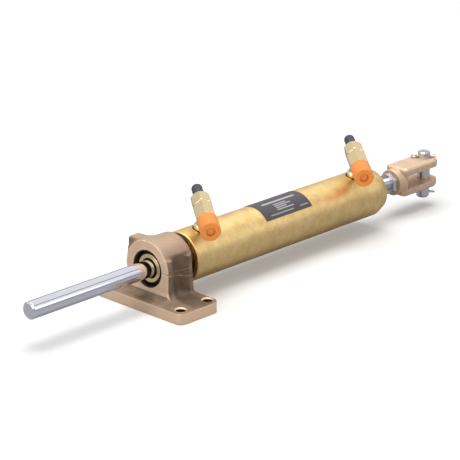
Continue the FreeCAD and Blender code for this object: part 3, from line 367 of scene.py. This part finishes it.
def printed_film():
    """Dark label film with blank pale fields, each a span along the tube and round it."""
    f = Finish("label_film")
    cloud = f.grain(12.0, 4.0)
    fine = f.grain(0.4, 3.0)
    degrees = f.y.maths("ARCTAN2", f.y * -1.0, f.z - AXIS_HEIGHT) * (180 / math.pi)
    printed = f.x * 0.0
    for start, end, low, high, strength in LABEL_FIELDS:
        printed = printed.highest(f.x.within(start, end, 0.3) * degrees.within(low, high, 0.6) * strength)
    film = f.blended(cloud, (0.060, 0.054, 0.060), (0.085, 0.078, 0.088))
    colour = f.blended(printed * (0.75 + 0.35 * fine), film, (0.60, 0.59, 0.60))
    return f.dress(Base_Color=colour, Roughness=0.34 + 0.1 * fine, Normal=f.relief(fine, 0.004))


FINISHES = {
    "bronze": cast_bronze(),
    "tube_brass": drawn_brass(),
    "turned_brass": turned_metal("turned_brass", (0.70, 0.50, 0.23), (0.86, 0.70, 0.42), 0.2),
    "fitting_brass": turned_metal("fitting_brass", (0.70, 0.52, 0.25), (0.87, 0.72, 0.44), 0.17),
    "chrome_rod": chromed_rod(),
    "steel": turned_metal("steel", (0.50, 0.50, 0.51), (0.70, 0.70, 0.71), 0.2),
    "black_steel": turned_metal("black_steel", (0.035, 0.035, 0.038), (0.09, 0.09, 0.095), 0.4),
    "black_plastic": moulded("black_plastic", (0.012, 0.012, 0.012), (0.03, 0.03, 0.03), 0.42, 0.01),
    "seal_rubber": moulded("seal_rubber", (0.012, 0.012, 0.013), (0.035, 0.035, 0.038), 0.6, 0.015),
    "cap_rubber": moulded("cap_rubber", (0.030, 0.030, 0.042), (0.075, 0.075, 0.10), 0.46, 0.02),
    # Orange plastic with painted shade in its hollows.
    "orange_plastic": moulded("orange_plastic", (1.0, 0.29, 0.03), (1.0, 0.42, 0.10), 0.4, 0.012,
                              shade=(0.66, 0.15, 0.04)),
    "label_film": printed_film(),
}

for subpart in frame["record"]["subparts"]:
    for slot in nodes[subpart["node"]].material_slots:
        slot.material = FINISHES[subpart["material_slot"]]


def joined(first, second, soft):
    """Union of two distance fields with a fillet."""
    near = np.maximum(soft - np.abs(first - second), 0) / soft
    return np.minimum(first, second) - near * near * soft / 4


def met(first, second, soft):
    """What two distance fields share, with a rounded edge."""
    return -joined(-first, -second, soft)


def carved(field, tool, soft):
    """A distance field with another taken out of it."""
    return met(field, -tool, soft)


def slab(place, low, high):
    """Distance from a layer between two planes."""
    return np.abs(place - (low + high) / 2) - (high - low) / 2


def outward(first, second):
    """Distance from a corner region of two fields."""
    outside = np.hypot(np.maximum(first, 0), np.maximum(second, 0))
    return outside + np.minimum(np.maximum(first, second), 0)


def casting(x, y, z):
    """Distance field of the whole foot casting, cap and base together."""
    above = z - AXIS_HEIGHT
    side = np.abs(y)
    outline = outward(np.abs(x) - PLATE_SIDE + PLATE_CORNER, side - PLATE_END + PLATE_CORNER) - PLATE_CORNER
    plate = np.maximum(met(outline, z - PLATE_TOP, PLATE_EDGE), -z)
    walls = np.where(above > 0, np.hypot(y, above), side) - ARCH
    housing = np.maximum(met(walls, slab(x, HOUSING_FRONT, HOUSING_REAR), 1.0), -z)
    scoop = np.hypot(x - SCOOP_PLACE, side - ARCH + SCOOP_DEPTH - SCOOP_RADIUS) - SCOOP_RADIUS
    housing = carved(housing, scoop, 2.0)
    flat = FLAT_ACROSS + FLAT_LEAN * (FLAT_TOP - above)
    housing = carved(housing, np.maximum(flat - side, FLAT_START - x), 1.2)
    behind_rim = slab(x, HOUSING_FRONT + RIM, HOUSING_FRONT + RIM + CHANNEL)
    channel = np.maximum(behind_rim, ARCH - CHANNEL_DEPTH - side)
    housing = carved(housing, channel, 1.0)
    groove = np.maximum(np.hypot(x - GROOVE_PLACE, side - ARCH) - GROOVE_RADIUS, above - GROOVE_TOP)
    housing = carved(housing, groove, 0.8)
    from_screw = np.hypot(np.abs(x - HOUSING_MIDDLE) - SCREW_ALONG, side - SCREW_ACROSS)
    screw_cover = slab(above, -4.0, SCREW_END + 0.8)
    screw_wall = np.maximum(from_screw - SCREW_SHANK - SCREW_WALL, screw_cover)
    housing = joined(housing, screw_wall, 3.0)
    block = np.maximum(slab(x, SHOULDER_FRONT, SHOULDER_END), slab(y, ARCH / 4, ARCH))
    top = np.maximum(above - SHOULDER_HEIGHT, (above - SHOULDER_HEIGHT + SHOULDER_SLOPE * x) / 1.1)
    shoulder = np.maximum(met(block, top, 4.0), -above)
    housing = joined(housing, shoulder, 5.0)
    root = np.interp(x, (HOUSING_MIDDLE, HOUSING_REAR - 3.0), (ROOT_FRONT, ROOT_REAR))
    body = joined(housing, plate, root)
    body = np.maximum(body, slab(x, -PLATE_SIDE, PLATE_SIDE))
    body = np.maximum(body, -z)
    body = carved(body, np.hypot(y, above) - OPENING, 0.8)
    body = carved(body, np.hypot(np.hypot(x - HOUSING_MIDDLE, y), above) - SEAT, 0.4)
    from_hole = np.hypot(np.abs(x) - HOLE_ALONG, side - HOLE_ACROSS)
    sink = np.clip(z - PLATE_TOP + HOLE_SINK, 0, 2 * HOLE_SINK)
    body = carved(body, np.maximum(from_hole - HOLE_RADIUS - sink, z - AXIS_HEIGHT), 0.3)
    head_room = np.maximum(from_screw - SCREW_HEAD, z - SCREW_HEAD_TOP)
    shank_room = np.maximum(from_screw - SCREW_SHANK, above - SCREW_END)
    return carved(body, np.minimum(head_room, shank_room), 0.2)


def base_half(x, y, z):
    """The foot plate with the lower half of the housing."""
    return met(casting(x, y, z), z - AXIS_HEIGHT, 0.3)


def cap_half(x, y, z):
    """The upper half of the housing."""
    return met(casting(x, y, z), AXIS_HEIGHT - z, 0.3)


def slopes(field, points):
    """Gradient of a distance field at points."""
    reach = 0.05
    found = np.empty_like(points)
    for axis in range(3):
        step = np.zeros(3)
        step[axis] = reach
        found[:, axis] = (field(*(points + step).T) - field(*(points - step).T)) / (2 * reach)
    return found


def skin_of(field, low, high, step):
    """Corners and faces of a field's surface: one corner per mixed cell, drawn on to the surface."""
    lines = [np.arange(first - 1.5 * step, last + 2.5 * step, step) for first, last in zip(low, high)]
    inside = field(*np.meshgrid(*lines, indexing="ij")) < 0
    cells = [slice(None, -1), slice(1, None)]
    counts = sum(inside[a, b, c].astype(int) for a in cells for b in cells for c in cells)
    mixed = (counts > 0) & (counts < 8)
    number = np.full(mixed.shape, -1)
    number[mixed] = np.arange(mixed.sum())
    points = np.argwhere(mixed) * step + [line[0] + step / 2 for line in lines]
    for _ in range(5):
        slope = slopes(field, points)
        steepness = np.maximum((slope ** 2).sum(axis=1), 0.25)
        move = slope * (field(*points.T) / steepness)[:, None]
        points = points - np.clip(move, -step, step)
    faces = []
    for axis in range(3):
        second, third = (axis + 1) % 3, (axis + 2) % 3
        lower = np.take(inside, range(inside.shape[axis] - 1), axis)
        upper = np.take(inside, range(1, inside.shape[axis]), axis)
        edges = np.argwhere(lower != upper)
        leaving = lower[tuple(edges.T)]
        around = []
        for back_second, back_third in ((1, 1), (0, 1), (0, 0), (1, 0)):
            cell = edges.copy()
            cell[:, second] -= back_second
            cell[:, third] -= back_third
            around.append(number[tuple(cell.T)])
        quads = np.stack(around, axis=1)
        faces.append(np.where(leaving[:, None], quads, quads[:, ::-1]))
    return points, np.concatenate(faces)


def piece(name, points, faces, body, slot):
    """A finished mesh that rides on a body, from corners in millimetres."""
    mesh = bpy.data.meshes.new(name)
    mesh.from_pydata((np.asarray(points, float) * MM).tolist(), [], [list(map(int, face)) for face in faces])
    mesh.polygons.foreach_set("use_smooth", [True] * len(mesh.polygons))
    mesh.materials.append(FINISHES[slot])
    made = bpy.data.objects.new(name, mesh)
    bpy.context.scene.collection.objects.link(made)
    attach(made, body)
    return made


CASTING_STEP = 0.7
for node, field in (("foot_base", base_half), ("foot_cap", cap_half)):
    lows, highs = zip(*(span(node, axis) for axis in range(3)))
    shell = skin_of(field, lows, highs, CASTING_STEP)
    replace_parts(piece(f"{node}_casting", *shell, "foot", "bronze"), node)


def wrapped(points, sides, closed=False):
    """Faces round a stack of equal rings, with its ends filled."""
    rings = len(points) // sides
    faces = []
    for ring in range(rings if closed else rings - 1):
        for side in range(sides):
            after = (side + 1) % sides
            here = ring * sides
            next_ring = (ring + 1) % rings * sides
            faces.append((here + side, here + after, next_ring + after, next_ring + side))
    if not closed:
        faces.append(tuple(reversed(range(sides))))
        faces.append(tuple(range((rings - 1) * sides, rings * sides)))
    return faces


def lip(places, wander):
    """Thin uneven lip of metal along a line of places on the casting."""
    sides = 8
    points = []
    for number, (x, y, z) in enumerate(places):
        ripple = math.sin(number * 0.17 + wander) + math.sin(number * 0.43 + 1.0)
        ripple += 0.6 * math.sin(number * 0.97)
        thick = 0.1 + 0.24 * max(ripple - 0.2, 0.0)
        for side in range(sides):
            angle = 2 * math.pi * side / sides
            reach = thick * math.cos(angle)
            points.append((x, y + reach, z + 0.75 * thick * math.sin(angle)))
    return points, wrapped(points, sides)


FLASH_HEIGHT = AXIS_HEIGHT - 0.7
FLASH_FALL = 0.245


def near_side_line():
    """Places on the casting's near side along the falling flash line of the photo."""
    places = []
    for x in np.linspace(HOUSING_FRONT + 0.4, HOUSING_REAR - 0.4, 150):
        z = FLASH_HEIGHT - FLASH_FALL * (x - HOUSING_FRONT) + 0.1 * math.sin(x * 1.7)
        across = np.linspace(-ARCH - 1.0, -ARCH + 8.0, 400)
        values = casting(np.full_like(across, x), across, np.full_like(across, z))
        places.append((x, across[np.argmax(values < 0)], z))
    return places


def front_line(start, end):
    """Places on the front face between two places across it."""
    across = np.linspace(start, end, 60)
    return [(HOUSING_FRONT - 0.02, y, AXIS_HEIGHT + 0.12 * math.sin(y * 1.3)) for y in across]


piece("near_flash", *lip(near_side_line(), 0.0), "foot", "tube_brass")
piece("front_flash_near", *lip(front_line(-ARCH + 1.2, -OPENING - 0.8), 2.0), "foot", "tube_brass")
piece("front_flash_far", *lip(front_line(OPENING + 0.8, ARCH - 1.2), 4.0), "foot", "tube_brass")

FITTING_FLATS = 17.0
FITTING_RISE = 17.0
HEX_TURN = 20.0
NUT_PROFILE = ((-25.5, 3.1), (-25.5, 6.4), (-25.2, 7.0), (-23.6, 8.35), (-22.2, 9.2), (-20.9, 9.9),
               (-8.6, 9.9), (-7.6, 9.2), (-6.7, 8.1), (-6.4, 7.4), (-6.4, 5.6))
FITTING_PLACES = {"front": (TUBE_FRONT + 22.6, 36.0), "rear": (TUBE_REAR - 21.0, 38.0)}


def run_frame(along, turn):
    """Matrix from a fitting's run, with X along it, to the row frame."""
    leaning = Matrix.Translation((along, 0, AXIS_HEIGHT)) @ Matrix.Rotation(LEAN, 4, "X")
    raised = leaning @ Matrix.Translation((0, 0, TUBE_RADIUS + FITTING_RISE))
    return raised @ Matrix.Rotation(math.radians(-90 - turn), 4, "Z")


def hexagon_reach(degrees):
    """Distance from the middle of the fitting's hexagon to its outline."""
    return FITTING_FLATS / 2 / math.cos(math.radians((degrees - HEX_TURN) % 60 - 30))


def bleed_nut(placing):
    """Hexagon nut with both ends chamfered round and filled."""
    sides = 120
    stations = []
    for (start, low), (end, high) in zip(NUT_PROFILE, NUT_PROFILE[1:]):
        stations += [(start + (end - start) * part / 4, low + (high - low) * part / 4) for part in range(4)]
    stations.append(NUT_PROFILE[-1])
    points = []
    for place, limit in stations:
        for side in range(sides):
            angle = 2 * math.pi * side / sides
            reach = min(limit, hexagon_reach(math.degrees(angle)))
            point = Vector((place, reach * math.sin(angle), -reach * math.cos(angle)))
            points.append(tuple(placing @ point))
    return points, wrapped(points, sides)


for end, (along, turn_back) in FITTING_PLACES.items():
    shell = bleed_nut(run_frame(along, turn_back))
    nut = piece(f"{end}_bleed_nut_dressed", *shell, "cylinder", "fitting_brass")
    nut.data.set_sharp_from_angle(angle=CREASE)
    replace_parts(nut, f"{end}_bleed_nut")


COLLAR_RADIUS = 13.3
COLLAR_BORE = 11.05
COLLAR_MOUTH = 9.5
COLLAR_DEPTH = 3.3
COLLAR_LIP = 0.5


def gland_collar():
    """Brass collar in front of the ball, with a lip over the sleeve's end."""
    face = span("front_gland", 0)[0]
    front = face - COLLAR_LIP
    back = face + COLLAR_DEPTH
    behind_lip = face - 0.05
    profile = ((back, COLLAR_BORE), (back, COLLAR_RADIUS), (front + 0.4, COLLAR_RADIUS),
               (front, COLLAR_RADIUS - 0.4), (front, COLLAR_MOUTH + 0.3), (front + 0.2, COLLAR_MOUTH),
               (behind_lip, COLLAR_MOUTH), (behind_lip, COLLAR_BORE))
    sides = 96
    points = []
    for place, radius in profile:
        for side in range(sides):
            angle = 2 * math.pi * side / sides
            points.append((place, radius * math.cos(angle), AXIS_HEIGHT + radius * math.sin(angle)))
    return points, wrapped(points, sides, closed=True)


collar = piece("gland_collar", *gland_collar(), "cylinder", "turned_brass")
collar.data.set_sharp_from_angle(angle=CREASE)
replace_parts(collar, "gland_circlip")


PAPER_LIFT = 0.16
FAR_LIFT = 0.12


def floor_finish():
    """White studio paper that still takes a shadow."""
    f = Finish("paper")
    seen = f.node("ShaderNodeLightPath", output="Is Camera Ray")
    mirrored = f.node("ShaderNodeLightPath", output="Is Glossy Ray")
    lift = seen * (PAPER_LIFT + FAR_LIFT * f.y.above(150.0, 500.0))
    paper = f.blended(mirrored, (0.86, 0.86, 0.86), (0.46, 0.46, 0.49))
    glow = f.blended(lift, (0.0, 0.0, 0.0), (1.0, 1.0, 1.0))
    return f.dress(Base_Color=paper, Roughness=0.9, Specular_IOR_Level=0.0, Emission_Color=glow,
                   Emission_Strength=1.0)


FLOOR_REACH = 6.0
floor_mesh = bpy.data.meshes.new("floor")
floor_mesh.from_pydata([(-FLOOR_REACH, -FLOOR_REACH, 0), (FLOOR_REACH, -FLOOR_REACH, 0),
                        (FLOOR_REACH, FLOOR_REACH, 0), (-FLOOR_REACH, FLOOR_REACH, 0)], [], [(0, 1, 2, 3)])
floor = bpy.data.objects.new("floor", floor_mesh)
floor_mesh.materials.append(floor_finish())
bpy.context.scene.collection.objects.link(floor)


def lamp(name, place, target, width, depth, power):
    """A rectangular soft lamp that looks at a point."""
    data = bpy.data.lights.new(name, "AREA")
    data.shape = "RECTANGLE"
    data.size = width
    data.size_y = depth
    data.energy = power
    holder = bpy.data.objects.new(name, data)
    holder.location = place
    holder.rotation_euler = (Vector(target) - Vector(place)).to_track_quat("-Z", "Y").to_euler()
    bpy.context.scene.collection.objects.link(holder)


MIDDLE = (0.12, 0.0, 0.04)
lamp("overhead", (0.1, 0.15, 2.0), MIDDLE, 1.9, 1.5, 33.0)
lamp("left_box", (-1.9, -0.2, 0.9), MIDDLE, 1.4, 1.4, 9.0)
lamp("right_box", (0.8, -1.9, 0.9), MIDDLE, 1.4, 0.7, 4.0)

world = bpy.data.worlds.new("studio")
world.use_nodes = True
sky = NodeSheet(world.node_tree)
way = sky.node("ShaderNodeTexCoord", output="Generated")
sideways, height = (sky.node("ShaderNodeSeparateXYZ", inputs={0: way}, output=axis) for axis in "YZ")
greys = [(0.0, (0.38, 0.38, 0.44)), (0.16, (0.50, 0.50, 0.58)), (0.30, (0.66, 0.66, 0.72)),
         (0.40, (1.0, 1.0, 1.0)), (1.0, (0.92, 0.92, 0.93))]
boxes = sky.node("ShaderNodeValToRGB", {"stops": greys}, {0: height})
gap = sideways.within(-0.37, -0.29, 0.03) * height.above(0.5, 0.05)
mirrored = sky.node("ShaderNodeLightPath", output="Is Glossy Ray")
seen = sky.node("ShaderNodeLightPath", output="Is Camera Ray")
boxes = sky.blended(gap, boxes, (0.02, 0.02, 0.03))
room = sky.blended(mirrored, (0.30, 0.30, 0.30), boxes)
sky.feed(sky.tree.nodes["Background"].inputs["Color"], sky.blended(seen, room, (1.0, 1.0, 1.0)))
bpy.context.scene.world = world

CAMERA_TURN = math.radians(46.62)
CAMERA_RISE = math.radians(19.84)
CAMERA_ROLL = math.radians(0.45)
CAMERA_PLACE = (-1.3098, -1.3269, 0.7420)
LENS = 175.5
SENSOR = 36.0

camera_data = bpy.data.cameras.new("camera")
camera_data.lens = LENS
camera_data.sensor_width = SENSOR
camera = bpy.data.objects.new("camera", camera_data)
right = Vector((math.cos(CAMERA_TURN), -math.sin(CAMERA_TURN), 0.0))
level = math.cos(CAMERA_RISE)
back = Vector((-math.sin(CAMERA_TURN) * level, -math.cos(CAMERA_TURN) * level, math.sin(CAMERA_RISE)))
up = back.cross(right)
tilted_right = right * math.cos(CAMERA_ROLL) + up * math.sin(CAMERA_ROLL)
tilted_up = up * math.cos(CAMERA_ROLL) - right * math.sin(CAMERA_ROLL)
turn = Matrix((tilted_right, tilted_up, back)).transposed().to_4x4()
camera.matrix_world = Matrix.Translation(CAMERA_PLACE) @ turn
bpy.context.scene.collection.objects.link(camera)
bpy.context.scene.camera = camera
bpy.context.scene.view_settings.view_transform = "Standard"
